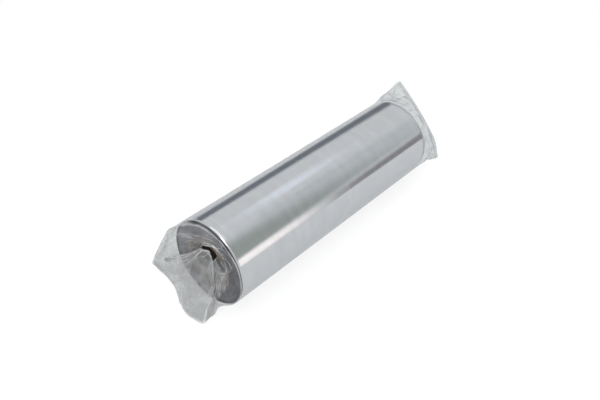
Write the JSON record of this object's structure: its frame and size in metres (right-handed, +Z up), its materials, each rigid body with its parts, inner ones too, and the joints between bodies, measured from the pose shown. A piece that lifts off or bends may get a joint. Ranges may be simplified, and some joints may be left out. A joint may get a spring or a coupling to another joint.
{
  "type": "metal foil tape roll in a film bag",
  "caption": "Wide roll of bright metal foil tape on a paperboard core, packed in a clear film bag that pulls off lengthwise.",
  "frame": {"origin": "middle of the core bore's axis, half way along the roll", "axes": "+X along the roll towards the bag's sealed end, +Z up with the roll lying on its side"},
  "size_m": [0.237, 0.0572, 0.0572],
  "materials": {
    "core_liner_paper": "smooth uncoated paper",
    "core_board": "cut board edge",
    "core_kraft": "kraft paper",
    "start_tape": "double-sided tissue tape",
    "wound_foil": "mirror foil with a dark grey wound edge",
    "release_liner": "glazed release paper",
    "bright_foil": "mirror-bright rolled foil",
    "clear_tape": "clear adhesive tape",
    "bag_film": "clear polyethylene film",
    "bag_seal": "heat-welded film"
  },
  "bodies": {
    "roll": {"core_liner_ply": "core_liner_paper", "core_body_plies": "core_board", "core_outer_ply": "core_kraft", "core_start_tape": "start_tape", "foil_pack": "wound_foil", "liner_outer_turn": "release_liner", "foil_outer_turn": "bright_foil", "tail_tape": "clear_tape"},
    "bag": {"bag_sleeve": "bag_film", "bag_mouth": "bag_film", "bag_end_film": "bag_film", "bag_end_seal": "bag_seal"}
  },
  "joints": [
    {"name": "bag_pull_off", "type": "slide", "parent": "roll", "child": "bag", "axis": [1, 0, 0], "range_m": [0, 0.225], "deforming": ["bag_mouth"]}
  ]
}
